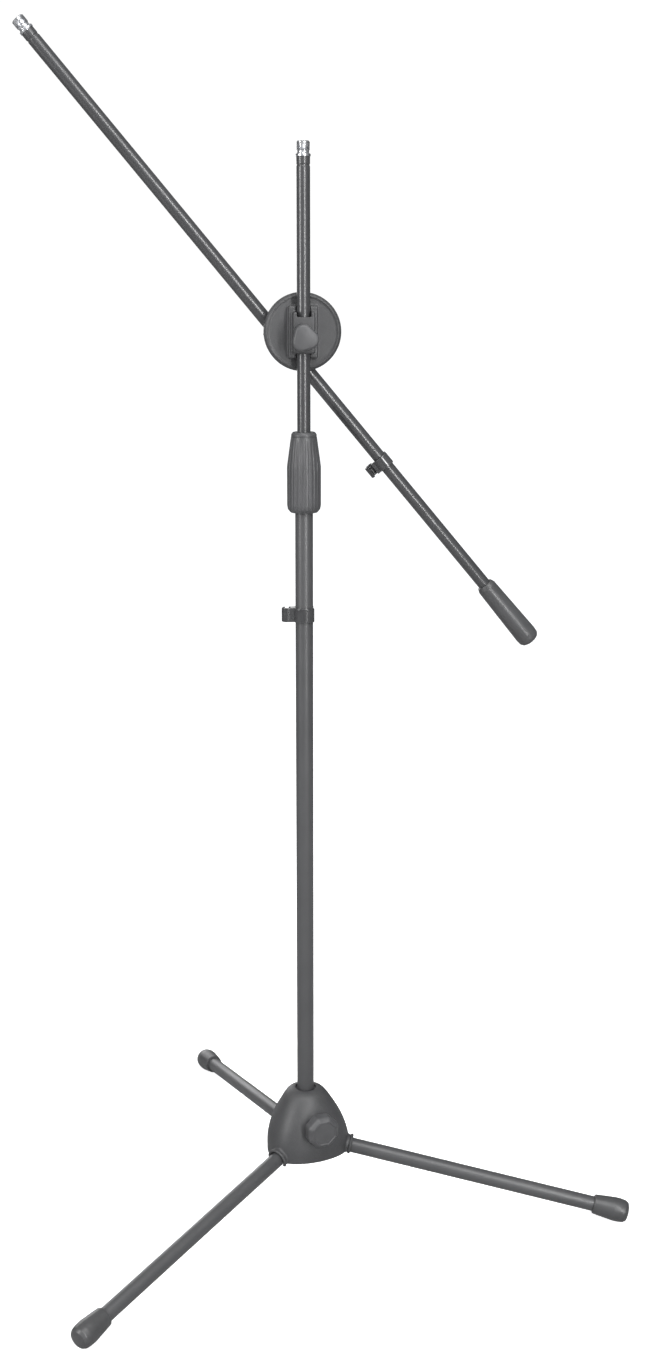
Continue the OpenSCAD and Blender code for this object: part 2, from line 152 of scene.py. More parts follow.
def ringOfPoints(build, radiusAt, z, count):
    ring = []
    for i in range(count):
        theta = turn * i / count
        radius = radiusAt(theta)
        ring.append(build.verts.new((radius * math.cos(theta), radius * math.sin(theta), z)))
    return ring


def joinRings(build, lower, upper):
    count = len(lower)
    for i in range(count):
        j = (i + 1) % count
        build.faces.new((lower[i], lower[j], upper[j], upper[i]))


def lathe(name, profile, place=columnPlace, segments=96, closed=True, smoothAngle=35):
    # turns an outline of (r, z, corner radius) about Z; r = 0 at either end closes on a pole
    outline = filleted(profile, closed)
    build = bmesh.new()
    rings = []
    for radius, z in outline:
        if radius < 1e-6:
            rings.append([build.verts.new((0, 0, z))])
        else:
            rings.append(ringOfPoints(build, lambda theta: radius, z, segments))
    pairs = list(zip(rings, rings[1:]))
    if closed:
        pairs.append((rings[-1], rings[0]))
    for lower, upper in pairs:
        if len(lower) == 1 and len(upper) == 1:
            continue
        if len(lower) == 1:
            for i in range(segments):
                build.faces.new((lower[0], upper[(i + 1) % segments], upper[i]))
        elif len(upper) == 1:
            for i in range(segments):
                build.faces.new((lower[i], lower[(i + 1) % segments], upper[0]))
        else:
            joinRings(build, lower, upper)
    bmesh.ops.recalc_face_normals(build, faces=build.faces)
    return meshObject(name, build, place, smoothAngle)


def polarLoft(name, radiusAt, levels, place=columnPlace, segments=96, smoothAngle=35):
    # stacks rings of radiusAt(theta, z): a level is (z, inset, fraction); both ends close on a pole
    thinnest = 0.2
    build = bmesh.new()
    rings = []
    for z, inset, fraction in levels:
        rings.append(ringOfPoints(
            build, lambda theta: max(radiusAt(theta, z) - inset, thinnest) * fraction, z, segments))
    for lower, upper in zip(rings, rings[1:]):
        joinRings(build, lower, upper)
    for ring, z in ((rings[0], levels[0][0]), (rings[-1], levels[-1][0])):
        pole = build.verts.new((0, 0, z))
        for i in range(segments):
            build.faces.new((pole, ring[i], ring[(i + 1) % segments]))
    bmesh.ops.recalc_face_normals(build, faces=build.faces)
    return meshObject(name, build, place, smoothAngle)


def block(name, low, high, place=columnPlace, edge=0.0):
    build = bmesh.new()
    bmesh.ops.create_cube(build, size=1)
    size = Vector(high) - Vector(low)
    centre = (Vector(high) + Vector(low)) / 2
    for vert in build.verts:
        vert.co = Vector(vert.co[i] * size[i] + centre[i] for i in range(3))
    if edge > 0:
        bmesh.ops.bevel(build, geom=build.edges[:], offset=edge, segments=3, affect="EDGES", profile=0.5)
    return meshObject(name, build, place)


def rod(name, radius, start, end, place=columnPlace, segments=64):
    return lathe(name, [(0, start), (radius, start), (radius, end), (0, end)], place, segments, closed=False)


def settle(piece):
    # turns the modifiers into plain mesh
    graph = bpy.context.evaluated_depsgraph_get()
    graph.update()
    mesh = bpy.data.meshes.new_from_object(piece.evaluated_get(graph))
    piece.modifiers.clear()
    oldMesh = piece.data
    piece.data = mesh
    bpy.data.meshes.remove(oldMesh)
    return piece


def combine(piece, others, operation):
    for other in others:
        cut = piece.modifiers.new("Cut", "BOOLEAN")
        cut.operation = operation
        cut.solver = "MANIFOLD"
        cut.object = other
    settle(piece)
    for other in others:
        oldMesh = other.data
        bpy.data.objects.remove(other)
        bpy.data.meshes.remove(oldMesh)
    return piece


def castSmooth(piece, voxel, rounds):
    # even mesh with softened edges, as a casting or moulding has
    remesh = piece.modifiers.new("Remesh", "REMESH")
    remesh.mode = "VOXEL"
    remesh.voxel_size = voxel * mm
    soften = piece.modifiers.new("Soften", "SMOOTH")
    soften.factor = 0.5
    soften.iterations = rounds
    return settle(piece)


# Geometry node trees, for what repeats or follows a path.

def addNode(tree, kind, inputs=None, **settings):
    # makes a node; each of its named inputs takes a value or a link from another node's socket
    node = tree.nodes.new(kind)
    for name, value in settings.items():
        setattr(node, name, value)
    for name, value in (inputs or {}).items():
        if isinstance(value, bpy.types.NodeSocket):
            tree.links.new(value, node.inputs[name])
        else:
            node.inputs[name].default_value = value
    return node


def mathNode(tree, operation, first, second):
    return addNode(tree, "ShaderNodeMath", {0: first, 1: second}, operation=operation).outputs[0]


def newTree(name, inputs):
    tree = bpy.data.node_groups.new(name, "GeometryNodeTree")
    tree.interface.new_socket("Geometry", in_out="INPUT", socket_type="NodeSocketGeometry")
    for label, kind, value in inputs:
        socket = tree.interface.new_socket(label, in_out="INPUT", socket_type=kind)
        if value is not None:
            socket.default_value = value
    tree.interface.new_socket("Geometry", in_out="OUTPUT", socket_type="NodeSocketGeometry")
    return tree, tree.nodes.new("NodeGroupInput").outputs


def finishTree(tree, source, given):
    realize = addNode(tree, "GeometryNodeRealizeInstances", {"Geometry": source})
    paint = addNode(tree, "GeometryNodeSetMaterial", {"Geometry": realize.outputs["Geometry"],
                                                      "Material": given["Material"]})
    addNode(tree, "NodeGroupOutput", {"Geometry": paint.outputs["Geometry"]})
    return tree


def makeTurnedCopiesTree():
    # copies the geometry about Z, evenly over a whole turn
    tree, given = newTree("TurnedCopies", [
        ("Copies", "NodeSocketInt", 12), ("Material", "NodeSocketMaterial", None)])
    points = addNode(tree, "GeometryNodePoints", {"Count": given["Copies"]})
    index = addNode(tree, "GeometryNodeInputIndex").outputs[0]
    step = mathNode(tree, "DIVIDE", turn, given["Copies"])
    angle = addNode(tree, "ShaderNodeCombineXYZ", {"Z": mathNode(tree, "MULTIPLY", index, step)})
    place = addNode(tree, "GeometryNodeInstanceOnPoints", {
        "Points": points.outputs[0], "Instance": given["Geometry"], "Rotation": angle.outputs[0]})
    return finishTree(tree, place.outputs["Instances"], given)


def sweepNode(tree, path, radius, sides):
    # sweeps a ring with a few sides along a curve, with closed ends
    ring = addNode(tree, "GeometryNodeCurvePrimitiveCircle", {"Resolution": sides, "Radius": radius},
                   mode="RADIUS")
    sweep = addNode(tree, "GeometryNodeCurveToMesh", {
        "Curve": path, "Profile Curve": ring.outputs[0], "Fill Caps": True})
    return sweep.outputs[0]


def makeThreadTree():
    # a screw thread about Z from height zero: a three-sided bead along a spiral
    tree, given = newTree("ScrewThread", [
        ("Radius", "NodeSocketFloat", 0.007), ("Length", "NodeSocketFloat", 0.01),
        ("Turns", "NodeSocketFloat", 10.0), ("Depth", "NodeSocketFloat", 0.0006),
        ("Material", "NodeSocketMaterial", None)])
    spiral = addNode(tree, "GeometryNodeCurveSpiral", {
        "Resolution": 48, "Rotations": given["Turns"], "Start Radius": given["Radius"],
        "End Radius": given["Radius"], "Height": given["Length"]})
    return finishTree(tree, sweepNode(tree, spiral.outputs[0], given["Depth"], 3), given)


def makeBeadTree():
    # a round bead along the edges of the geometry
    tree, given = newTree("BeadAlongPath", [
        ("Radius", "NodeSocketFloat", 0.001), ("Material", "NodeSocketMaterial", None)])
    path = addNode(tree, "GeometryNodeMeshToCurve", {"Mesh": given["Geometry"]})
    return finishTree(tree, sweepNode(tree, path.outputs[0], given["Radius"], 14), given)


turnedCopiesTree = makeTurnedCopiesTree()
threadTree = makeThreadTree()
beadTree = makeBeadTree()


def runTree(piece, tree, values, place=columnPlace, smoothAngle=35):
    # runs a tree on a piece that is still at its own origin, then puts the result in place
    modifier = piece.modifiers.new(tree.name, "NODES")
    modifier.node_group = tree
    sockets = {item.name: item.identifier for item in tree.interface.items_tree if item.in_out == "INPUT"}
    for label, value in values.items():
        modifier[sockets[label]] = value
    settle(piece)
    piece.data.transform(place)
    smooth(piece, smoothAngle)
    return piece


# Materials. Each finish is one procedural node tree, filled from its row of looks.

# most of a noise texture's values lie between these two
noiseLow, noiseHigh = 0.3, 0.7


def noiseNode(tree, coords, scale, detail=4, roughness=0.5):
    return addNode(tree, "ShaderNodeTexNoise", {
        "Vector": coords, "Scale": scale, "Detail": detail, "Roughness": roughness}).outputs["Fac"]


def rampNode(tree, source, low, high):
    ramp = addNode(tree, "ShaderNodeValToRGB", {"Fac": source})
    first, last = ramp.color_ramp.elements
    first.position, last.position = noiseLow, noiseHigh
    first.color = low + (1,)
    last.color = high + (1,)
    return ramp.outputs["Color"]


def rangeNode(tree, source, low, high, sourceLow=noiseLow, sourceHigh=noiseHigh):
    return addNode(tree, "ShaderNodeMapRange", {
        "Value": source, "From Min": sourceLow, "From Max": sourceHigh, "To Min": low,
        "To Max": high}).outputs["Result"]


def mixColours(tree, factor, first, second):
    # a colour mix has its factor at input 0, its colours at 6 and 7, and its result at output 2
    colours = [value + (1,) if isinstance(value, tuple) else value for value in (first, second)]
    mix = addNode(tree, "ShaderNodeMix", data_type="RGBA")
    for number, value in ((0, factor), (6, colours[0]), (7, colours[1])):
        if isinstance(value, tuple):
            mix.inputs[number].default_value = value
        else:
            tree.links.new(value, mix.inputs[number])
    return mix.outputs[2]


def finish(name, look):
    # one finish: tone varies from dark to light, roughness varies, and a fine grain stands up
    material = bpy.data.materials.new(name)
    material.use_nodes = True
    tree = material.node_tree
    shader = tree.nodes["Principled BSDF"]
    coords = addNode(tree, "ShaderNodeTexCoord").outputs["Object"]
    cloud = noiseNode(tree, coords, look["cloudScale"], 5, 0.6)
    grain = noiseNode(tree, coords, look["grainScale"], 3, 0.55)
    colour = rampNode(tree, cloud, look["dark"], look["light"])
    if "speckle" in look:
        fleck = noiseNode(tree, coords, look["grainScale"] * 1.7, 2, 0.5)
        colour = mixColours(tree, rangeNode(tree, fleck, -1.6, 1.0), colour, look["speckle"])
    if "dust" in look:
        normal = addNode(tree, "ShaderNodeNewGeometry").outputs["Normal"]
        split = addNode(tree, "ShaderNodeSeparateXYZ", {0: normal})
        patchy = noiseNode(tree, coords, look["cloudScale"] * 2.3, 6, 0.65)
        upward = rangeNode(tree, split.outputs["Z"], 0.0, 1.0)
        settled = mathNode(tree, "MULTIPLY", upward, rangeNode(tree, patchy, 0.0, look["dustAmount"]))
        colour = mixColours(tree, settled, colour, look["dust"])
    if "scratch" in look:
        stretch = addNode(tree, "ShaderNodeMapping", {"Vector": coords, "Scale": look["scratchStretch"]})
        lines = noiseNode(tree, stretch.outputs[0], 60, 2, 0.4)
        colour = mixColours(tree, rangeNode(tree, lines, 0.0, 0.5, 0.64, 0.72), colour, look["scratch"])
    worn = noiseNode(tree, coords, look["cloudScale"] * 1.6, 6, 0.62)
    bump = addNode(tree, "ShaderNodeBump", {
        "Height": grain, "Strength": look["grainStrength"], "Distance": look["grainHeight"] * mm})
    tree.links.new(colour, shader.inputs["Base Color"])
    tree.links.new(rangeNode(tree, worn, look["smoothest"], look["roughest"]), shader.inputs["Roughness"])
    tree.links.new(bump.outputs["Normal"], shader.inputs["Normal"])
    shader.inputs["Metallic"].default_value = look.get("metal", 0.0)
    shader.inputs["Coat Weight"].default_value = look.get("coat", 0.0)
    shader.inputs["Coat Roughness"].default_value = look.get("coatRoughness", 0.2)
    return material


finishLooks = {
    "tubeEnamel": {"dark": (0.034, 0.034, 0.0355), "light": (0.045, 0.045, 0.047), "cloudScale": 9,
                   "grainScale": 900, "grainStrength": 0.1, "grainHeight": 0.0005, "smoothest": 0.27,
                   "roughest": 0.33, "coat": 0.28, "coatRoughness": 0.21,
                   "scratch": (0.075, 0.075, 0.08), "scratchStretch": (9, 9, 0.35)},
    "castEnamel": {"dark": (0.035, 0.035, 0.036), "light": (0.047, 0.047, 0.049), "cloudScale": 22,
                   "grainScale": 1100, "grainStrength": 0.5, "grainHeight": 0.16, "smoothest": 0.42,
                   "roughest": 0.56, "speckle": (0.066, 0.066, 0.069),
                   "dust": (0.15, 0.146, 0.14), "dustAmount": 0.1},
    "legEnamel": {"dark": (0.05, 0.05, 0.052), "light": (0.063, 0.063, 0.065), "cloudScale": 10,
                  "grainScale": 850, "grainStrength": 0.2, "grainHeight": 0.03, "smoothest": 0.34,
                  "roughest": 0.44, "coat": 0.1, "coatRoughness": 0.25,
                  "dust": (0.15, 0.146, 0.14), "dustAmount": 0.08},
    "chrome": {"dark": (0.56, 0.57, 0.59), "light": (0.68, 0.685, 0.7), "cloudScale": 60, "grainScale": 600,
               "grainStrength": 0.1, "grainHeight": 0.001, "smoothest": 0.24, "roughest": 0.32, "metal": 1.0},
    "zinc": {"dark": (0.42, 0.43, 0.45), "light": (0.56, 0.57, 0.58), "cloudScale": 70, "grainScale": 1400,
             "grainStrength": 0.2, "grainHeight": 0.04, "smoothest": 0.28, "roughest": 0.45, "metal": 1.0},
    "brass": {"dark": (0.5, 0.36, 0.15), "light": (0.66, 0.5, 0.22), "cloudScale": 80, "grainScale": 900,
              "grainStrength": 0.15, "grainHeight": 0.03, "smoothest": 0.25, "roughest": 0.4, "metal": 1.0},
    "knobPlastic": {"dark": (0.055, 0.055, 0.057), "light": (0.07, 0.07, 0.073), "cloudScale": 40,
                    "grainScale": 1500, "grainStrength": 0.3, "grainHeight": 0.06, "smoothest": 0.42,
                    "roughest": 0.52, "dust": (0.2, 0.196, 0.188), "dustAmount": 0.06},
    "gripPlastic": {"dark": (0.051, 0.051, 0.053), "light": (0.065, 0.065, 0.068), "cloudScale": 34,
                    "grainScale": 1500, "grainStrength": 0.3, "grainHeight": 0.06, "smoothest": 0.38,
                    "roughest": 0.5, "dust": (0.18, 0.176, 0.168), "dustAmount": 0.06},
    "clipPlastic": {"dark": (0.03, 0.03, 0.031), "light": (0.04, 0.04, 0.042), "cloudScale": 50,
                    "grainScale": 700, "grainStrength": 0.08, "grainHeight": 0.01, "smoothest": 0.2,
                    "roughest": 0.3, "coat": 0.6, "coatRoughness": 0.08},
    "linerPlastic": {"dark": (0.02, 0.02, 0.021), "light": (0.03, 0.03, 0.032), "cloudScale": 40,
                     "grainScale": 1200, "grainStrength": 0.2, "grainHeight": 0.04, "smoothest": 0.4,
                     "roughest": 0.55},
    "naturalNylon": {"dark": (0.68, 0.66, 0.58), "light": (0.76, 0.74, 0.67), "cloudScale": 40,
                     "grainScale": 900, "grainStrength": 0.15, "grainHeight": 0.04, "smoothest": 0.38,
                     "roughest": 0.5},
    "rubber": {"dark": (0.046, 0.046, 0.047), "light": (0.06, 0.06, 0.062), "cloudScale": 30,
               "grainScale": 1300, "grainStrength": 0.3, "grainHeight": 0.05, "smoothest": 0.3,
               "roughest": 0.42, "dust": (0.15, 0.146, 0.14), "dustAmount": 0.1},
    "frictionFibre": {"dark": (0.2, 0.09, 0.05), "light": (0.3, 0.15, 0.09), "cloudScale": 120,
                      "grainScale": 1200, "grainStrength": 0.6, "grainHeight": 0.15, "smoothest": 0.7,
                      "roughest": 0.85},
}
finishes = {name: finish(name, look) for name, look in finishLooks.items()}
nodeSlots = {part["node"]: part["material_slot"] for part in frame["record"]["subparts"]}
bodyNodes = frame["record"]["behaviour"]["bodies"]
nodeBodies = {node: body for body, members in bodyNodes.items() for node in members}
print("materials made")


def paint(piece, slotName):
    # the finish of slot tube_enamel is tubeEnamel, and so on
    first, *others = slotName.split("_")
    piece.data.materials.clear()
    piece.data.materials.append(finishes[first + "".join(word.capitalize() for word in others)])


for node, cadObject in frame["nodes"].items():
    paint(cadObject, nodeSlots[node])


def hand(piece, node, stands=True):
    # gives a piece its finish and its body, and lets it stand for its CAD node
    slotName = nodeSlots[node]
    paint(piece, slotName)
    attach(piece, nodeBodies[node])
    if stands:
        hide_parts(node)


# Camera, light and floor.

# the camera's height and distance from the column, and where it stands, looks and tips, in degrees
view = {"height": 1225.1, "distance": 2101.0, "azimuth": -94.0, "look": 85.378, "pitch": 13.947,
        "lensMm": 46.29, "sensorMm": 36}
# lamp places in metres; an azimuth is measured from the camera's side, towards the right
lamps = {
    "leftStrip": {"azimuth": -55, "distance": 2.6, "height": 1.6, "size": (0.4, 1.8), "watts": 46},
    "rightStrip": {"azimuth": 26, "distance": 2.9, "height": 1.6, "size": (0.3, 2.6), "watts": 72},
    "topSoft": {"azimuth": 10, "distance": 1.6, "height": 3.4, "size": (2.2, 2.2), "watts": 58},
    "rearSoft": {"azimuth": -158, "distance": 3, "height": 0.9, "size": (2.4, 1.2), "watts": 3.6,
                 "aimHeight": 0.05, "spread": 60},
}
studio = {"backdrop": 1.05, "lightTint": (0.94, 0.97, 1), "behind": 0.13, "front": 0.6, "above": 0.3,
          "floorSize": 20, "floorDark": (0.93, 0.93, 0.93), "floorLight": (0.95, 0.95, 0.95),
          "floorThrown": (0.4, 0.4, 0.4), "floorGlow": 0.72}


def makeCamera():
    data = bpy.data.cameras.new("Camera")
    data.lens = view["lensMm"]
    data.sensor_width = view["sensorMm"]
    data.clip_end = 60
    camera = bpy.data.objects.new("Camera", data)
    azimuth = math.radians(view["azimuth"])
    camera.location = (view["distance"] * mm * math.cos(azimuth), view["distance"] * mm * math.sin(azimuth),
                       view["height"] * mm)
    camera.rotation_euler = (math.radians(90 - view["pitch"]), 0, math.radians(view["look"] - 90))
    scene.collection.objects.link(camera)
    scene.camera = camera


def makeLamp(name, lamp):
    data = bpy.data.lights.new(name, "AREA")
    data.shape = "RECTANGLE"
    data.size, data.size_y = lamp["size"]
    data.energy = lamp["watts"]
    data.spread = math.radians(lamp.get("spread", 180))
    piece = bpy.data.objects.new(name, data)
    angle = math.radians(view["azimuth"] + lamp["azimuth"])
    piece.location = (lamp["distance"] * math.cos(angle), lamp["distance"] * math.sin(angle), lamp["height"])
    aim = Vector((0, 0, lamp.get("aimHeight", 0.9))) - piece.location
    piece.rotation_euler = aim.to_track_quat("-Z", "Y").to_euler()
    piece.visible_camera = False
    scene.collection.objects.link(piece)


def makeWorld():
    # the camera sees a white backdrop; the pieces are lit mostly from the front and from above
    world = bpy.data.worlds.new("Studio")
    scene.world = world
    world.use_nodes = True
    tree = world.node_tree
    tree.nodes.clear()
    direction = addNode(tree, "ShaderNodeTexCoord").outputs["Generated"]
    split = addNode(tree, "ShaderNodeSeparateXYZ", {0: direction}).outputs
    front = rangeNode(tree, split["Y"], studio["behind"], studio["front"], 0.2, -1.0)
    above = mathNode(tree, "MULTIPLY", mathNode(tree, "MAXIMUM", split["Z"], 0.0), studio["above"])
    seen = addNode(tree, "ShaderNodeBackground", {"Color": (1, 1, 1, 1), "Strength": studio["backdrop"]})
    lit = addNode(tree, "ShaderNodeBackground", {
        "Color": studio["lightTint"] + (1,), "Strength": mathNode(tree, "ADD", front, above)})
    path = addNode(tree, "ShaderNodeLightPath").outputs["Is Camera Ray"]
    mix = addNode(tree, "ShaderNodeMixShader", {0: path, 1: lit.outputs[0], 2: seen.outputs[0]})
    addNode(tree, "ShaderNodeOutputWorld", {"Surface": mix.outputs[0]})


def makeFloor():
    build = bmesh.new()
    bmesh.ops.create_grid(build, x_segments=1, y_segments=1, size=studio["floorSize"])
    floor = meshObject("floor", build, sizeUnit=1)
    pale = bpy.data.materials.new("paleFloor")
    pale.use_nodes = True
    tree = pale.node_tree
    shader = tree.nodes["Principled BSDF"]
    shader.inputs["Roughness"].default_value = 0.9
    shader.inputs["Specular IOR Level"].default_value = 0.1
    shader.inputs["Emission Color"].default_value = (1, 1, 1, 1)
    coords = addNode(tree, "ShaderNodeTexCoord").outputs["Object"]
    seenTone = rampNode(tree, noiseNode(tree, coords, 3), studio["floorDark"], studio["floorLight"])
    # the floor looks white to the camera and throws back less light than it shows
    path = addNode(tree, "ShaderNodeLightPath").outputs["Is Camera Ray"]
    tree.links.new(mixColours(tree, path, studio["floorThrown"], seenTone), shader.inputs["Base Color"])
    glow = mathNode(tree, "MULTIPLY", path, studio["floorGlow"])
    tree.links.new(glow, shader.inputs["Emission Strength"])
    floor.data.materials.append(pale)


makeCamera()
for lampName, lamp in lamps.items():
    makeLamp(lampName, lamp)
makeWorld()
makeFloor()
scene.view_settings.view_transform = "Standard"
print("camera and studio made")


# Tubes and their threaded tips.

tubes = {"slimRadius": 8.0, "slimBore": 6.8, "lowerRadius": 10.8, "lowerBore": 9.4, "legRadius": 9.5,
         "legBore": 8.1, "grooveDepth": 0.55, "grooveFrom": 8.0, "grooveTo": 11.0, "grooveSide": 0.9,
         "lip": 0.5}


def crimpedTube(name, length, place):
    # the crimped end is at zero, the tube runs towards +Z
    outer, bore = tubes["slimRadius"], tubes["slimBore"]
    deep, side = outer - tubes["grooveDepth"], tubes["grooveSide"]
    return lathe(name, [
        (bore, 0), (outer, 0, tubes["lip"]), (outer, tubes["grooveFrom"], 0.8),
        (deep, tubes["grooveFrom"] + side, 0.5), (deep, tubes["grooveTo"] - side, 0.5),
        (outer, tubes["grooveTo"], 0.8), (outer, length, tubes["lip"]), (bore, length)], place)


def plainTube(name, radius, bore, start, end, place=columnPlace):
    lip = tubes["lip"]
    return lathe(name, [(bore, start), (radius, start, lip), (radius, end, lip), (bore, end)], place)


columnTipPlace = placeAlong(Vector((0, 0, upperTop * mm)), (0, 0, -1), (1, 0, 0))
hand(crimpedTube("columnUpperTube", upperTop - upperBottom, columnTipPlace), "upper_tube")
lowerTube = plainTube("columnLowerTube", tubes["lowerRadius"], tubes["lowerBore"], lowerBottom, lowerTop)
hand(lowerTube, "lower_tube")

boomDown = Vector(joints["boom_slide"]["axis"]).normalized()
boomNear = Vector(joints["boom_spin"]["pos_m"])


def alongBoom(point):
    return (point - boomNear).dot(boomDown) / mm


def leaningLength(node, down, radius):
    # length of a leaning tube from its box, which has the tube's own radius beyond its axis at each end
    low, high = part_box(node)
    drop = (high.z - low.z) / mm
    return (drop - 2 * radius * math.sqrt(1 - down ** 2)) / abs(down)


boomLength = leaningLength("boom_tube", boomDown.z, tubes["slimRadius"])
boomStart = alongBoom(boxCentre("boom_tube")) - boomLength / 2
boomTipPlace = placeAlong(boomNear + boomDown * boomStart * mm, boomDown)
hand(crimpedTube("boomTube", boomLength, boomTipPlace), "boom_tube")

# 5/8 inch thread with 27 turns to the inch, as microphone holders have
threadTip = {"major": 7.9375, "root": 7.25, "threadLength": 10.7, "pitch": 25.4 / 27, "neck": 6.9,
             "neckLength": 3.9, "flange": 8.7, "flangeLength": 2.9, "bore": 3.5, "spigot": 22,
             "threadInset": 0.75, "threadShort": 1.3}


def threadTipCore(name, place):
    # the flange sits on the tube's end at zero, and the thread points to -Z
    tip = threadTip
    flangeEnd = -tip["flangeLength"]
    neckEnd = flangeEnd - tip["neckLength"]
    end = neckEnd - tip["threadLength"]
    slimBore = tubes["slimBore"]
    bore, neck, root = tip["bore"], tip["neck"], tip["root"]
    return lathe(name, [
        (bore, tip["spigot"]), (slimBore, tip["spigot"], 0.8), (slimBore, 0), (tip["flange"], 0, 0.5),
        (tip["flange"], flangeEnd, 0.6), (neck + 0.9, flangeEnd - 0.2, 0.2), (neck, flangeEnd - 1.2, 0.4),
        (neck, neckEnd + 0.6, 0.3), (root, neckEnd), (root, end + 0.9, 0.3),
        (root - 1, end, 0.3), (bore + 0.4, end, 0.2), (bore, end + 0.5)], place)


def threadTipThread(name, place):
    tip = threadTip
    seed = bpy.data.objects.new(name, bpy.data.meshes.new(name))
    scene.collection.objects.link(seed)
    start = tip["threadInset"] - tip["flangeLength"] - tip["neckLength"] - tip["threadLength"]
    length = tip["threadLength"] - tip["threadShort"]
    depth = (tip["major"] - tip["root"]) / 1.5
    runTree(seed, threadTree, {
        "Radius": (tip["root"] + depth / 2) * mm, "Length": length * mm, "Turns": length / tip["pitch"],
        "Depth": depth * mm, "Material": finishes["chrome"]},
        place @ Matrix.Translation((0, 0, start * mm)), smoothAngle=40)
    return seed


for title, tipPlace in (("column", columnTipPlace), ("boom", boomTipPlace)):
    hand(threadTipCore(f"{title}TipCore", tipPlace), f"{title}_adapter")
    hand(threadTipThread(f"{title}TipThread", tipPlace), f"{title}_adapter", stands=False)
print("tubes and thread tips made")


# Shapes that turn with an angle or a height.

def cornerRadius(theta, corners, reach, lobe):
    # distance to the edge of a polygon with round corners; a corner points along theta = 0
    half = math.pi / corners
    t = (theta + half) % (2 * half) - half
    out = reach - lobe
    if abs(t) < math.atan2(lobe * math.sin(half), out + lobe * math.cos(half)):
        return out * math.cos(t) + math.sqrt(lobe ** 2 - (out * math.sin(t)) ** 2)
    return (out * math.cos(half) + lobe) / math.cos(half - abs(t))


def between(table, z):
    # smooth reading of a table of (z, value, ...) rows in rising z
    if z <= table[0][0]:
        return table[0][1:]
    for i in range(len(table) - 1):
        low, high = table[i], table[i + 1]
        if z <= high[0]:
            before = table[max(i - 1, 0)]
            after = table[min(i + 2, len(table) - 1)]
            span = high[0] - low[0]
            t = (z - low[0]) / span
            values = []
            for k in range(1, len(low)):
                # a cubic that meets its neighbours with the same slope
                slopeLow = (high[k] - before[k]) / (high[0] - before[0]) * span
                slopeHigh = (after[k] - low[k]) / (after[0] - low[0]) * span
                values.append(low[k] * (2 * t ** 3 - 3 * t ** 2 + 1) + slopeLow * (t ** 3 - 2 * t ** 2 + t)
                              + high[k] * (3 * t ** 2 - 2 * t ** 3) + slopeHigh * (t ** 3 - t ** 2))
            return values
    return table[-1][1:]


# Hub.

# each level is a height, then the bell's radius over a leg and between two legs
hub = {"levels": [(76, 57, 50), (98, 55.5, 49.5), (122, 47, 43), (147, 32, 30), (156, 24, 24),
                  (160, 17.5, 17.5)],
       "legShare": 1.2, "wall": 4, "steps": 40, "postRadius": 17, "postBottom": 100, "linerRadius": 13.6,
       "linerBottom": 104, "tubeHole": 11.1, "slot": 10.2, "slotBack": -11, "slotEnd": 40, "slotDepth": 40,
       "hood": 12.8, "hoodStart": 8, "hoodEnd": 22, "hoodDepth": 30, "lip": 2.0, "lipInset": 0.5,
       "lipBack": 0.6, "cheekHalf": 14.2, "cheekTop": 103, "cheekReach": 30, "bossRadius": 10, "bossEnd": 43,
       "nutRadius": 7, "nutIn": 27, "screwHole": 4.3, "pinRadius": 3, "pinHalf": 14.5, "foldRoom": 10.5,
       "voxel": 1.15}
firstLeg = math.atan2(legPlaces["right"].translation.y, legPlaces["right"].translation.x)


def hubBell(name, inset, bottom, top):
    def radiusAt(theta, z):
        corner, side = between(hub["levels"], z + inset if z > bottom + 1 else z)
        share = (0.5 + 0.5 * math.cos(3 * (theta - firstLeg))) ** hub["legShare"]
        return side + (corner - side) * share - inset

    edge = 2.0 if inset == 0 else 0.5
    levels = [(bottom, edge * 0.4, 1), (bottom + 0.3, edge * 0.1, 1), (bottom + 1, 0, 1)]
    steps = hub["steps"]
    levels += [(bottom + 1 + (top - bottom - 2.5) * i / steps, 0, 1) for i in range(1, steps + 1)]
    levels += [(top - 0.8, 0.5, 1), (top, 2.2, 1)]
    return polarLoft(name, radiusAt, levels, segments=144)


def halfRound(radius, steps, extra=0):
    # points over the top half of a circle, with some extra steps beyond each end
    return [(radius * math.cos(math.pi * i / steps), radius * math.sin(math.pi * i / steps))
            for i in range(-extra, steps + extra + 1)]


def legArch(name, radius, start, end, place, depth):
    # round-topped bar along a leg, reaching down below it
    build = bmesh.new()
    outline = halfRound(radius, 24) + [(-radius, -depth), (radius, -depth)]
    rings = [[build.verts.new((y, x, z)) for x, y in outline] for z in (start, end)]
    joinRings(build, rings[0], rings[1])
    build.faces.new(rings[0])
    build.faces.new(rings[1])
    bmesh.ops.recalc_face_normals(build, faces=build.faces)
    return meshObject(name, build, place)


